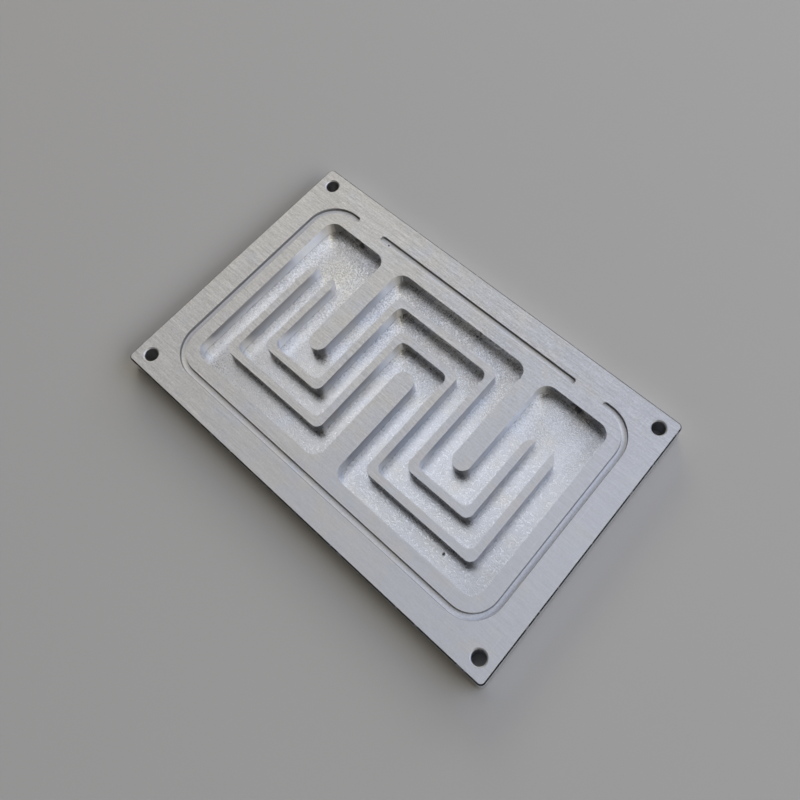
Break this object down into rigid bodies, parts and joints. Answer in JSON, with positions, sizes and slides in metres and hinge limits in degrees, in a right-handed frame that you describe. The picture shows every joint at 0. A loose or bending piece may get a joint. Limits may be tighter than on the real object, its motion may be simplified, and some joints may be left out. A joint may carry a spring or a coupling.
{
  "type": "liquid cooling cold plate",
  "caption": "Flat machined aluminium cold plate: open serpentine coolant lanes in its top, a seal groove round them, side ports and corner screw holes.",
  "frame": {"origin": "centre of the plate's underside", "axes": "+X along the plate's long side, +Y towards the side with the two coolant ports, +Z out of the milled top"},
  "size_m": [0.18, 0.115, 0.01],
  "materials": {
    "milled_aluminium": "bare milled aluminium: fine straight grain on the top face, grainy cutter marks on the channel floors"
  },
  "bodies": {
    "root": {"cold_plate": "milled_aluminium"}
  },
  "joints": []
}
